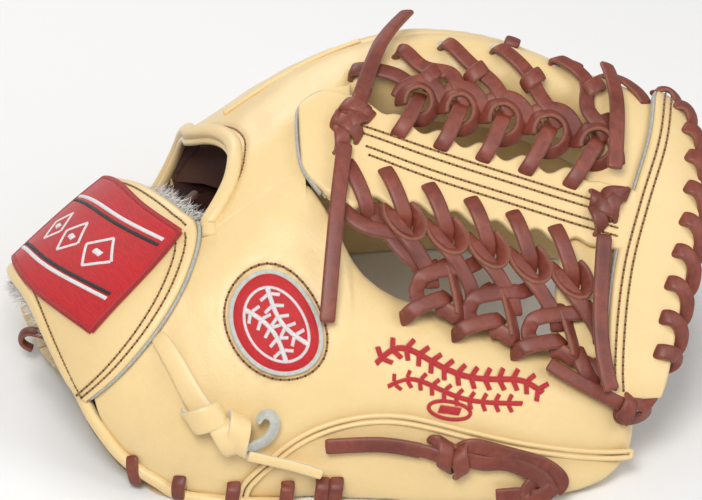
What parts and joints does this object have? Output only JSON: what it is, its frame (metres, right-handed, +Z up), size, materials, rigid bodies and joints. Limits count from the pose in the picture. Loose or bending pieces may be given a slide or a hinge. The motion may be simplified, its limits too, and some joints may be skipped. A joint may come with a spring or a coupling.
{
  "type": "baseball glove",
  "caption": "Leather fielding glove for the left hand with a laced spine web, padded finger stalls, wrist strap with pile lining, and thumb and little-finger sides that fold closed.",
  "frame": {"origin": "under the middle of the ball pocket, on the plane that the glove lies on", "axes": "+X along the thumb and the web's spine from the wrist to the top bar, +Y from the thumb to the little finger, +Z up, out of the back of the hand"},
  "size_m": [0.2883, 0.207, 0.1397],
  "materials": {
    "cream_leather": "smooth, lightly waxed",
    "brown_lace": "oiled rawhide",
    "tan_lace": "smooth",
    "red_woven_patch": "woven",
    "red_embroidery": "satin stitch",
    "white_fleece": "wool pile",
    "brown_lining": "soft lining",
    "felt": "felt"
  },
  "bodies": {
    "hand": {"back_panel": "cream_leather", "finger_hole_rim": "cream_leather", "thumb_back_panel": "cream_leather", "pinky_back_panel": "cream_leather", "palm_panel": "cream_leather", "palm_lining": "brown_lining", "thumb_heel_pad": "felt", "pinky_heel_pad": "felt", "thumb_loop": "cream_leather", "pinky_loop": "cream_leather", "wrist_strap": "cream_leather", "fleece_lining": "white_fleece", "strap_patch": "red_woven_patch", "edge_binding": "cream_leather", "web_spine": "cream_leather", "web_backing": "cream_leather", "web_top_bar": "cream_leather", "web_post": "cream_leather", "spine_upper_laces": "brown_lace", "spine_lower_laces": "brown_lace", "upper_crossing_laces": "brown_lace", "lower_crossing_laces": "brown_lace", "index_edge_laces": "brown_lace", "bar_edge_lace": "brown_lace", "crotch_knot": "brown_lace", "bar_knot": "brown_lace", "crotch_tail_up": "brown_lace", "crotch_tail_down": "brown_lace", "bar_tail_up": "brown_lace", "bar_tail_down": "brown_lace", "finger_laces_near": "brown_lace", "heel_laces": "brown_lace", "thumb_tie": "tan_lace", "thumb_tie_knot": "tan_lace", "thumb_tie_end": "tan_lace", "thumb_tie_tail": "tan_lace", "index_stall": "cream_leather", "middle_stall": "cream_leather"},
    "thumb_side": {"thumb_stall": "cream_leather", "oval_patch": "red_embroidery", "thumb_edge_laces": "brown_lace", "thumb_lace": "brown_lace", "thumb_lace_tail": "brown_lace", "thumb_tip_lace": "brown_lace"},
    "pinky_side": {"ring_stall": "cream_leather", "pinky_stall": "cream_leather", "finger_laces_far": "brown_lace"}
  },
  "joints": [
    {"name": "thumb_fold", "type": "hinge", "parent": "hand", "child": "thumb_side", "pos_m": [-0.02, -0.04, 0.061], "axis": [0.9978, -0.019, -0.0636], "range_deg": [0, 20]},
    {"name": "pinky_fold", "type": "hinge", "parent": "hand", "child": "pinky_side", "pos_m": [0.02, 0.075, 0.073], "axis": [-1, 0, 0], "range_deg": [0, 10]}
  ]
}
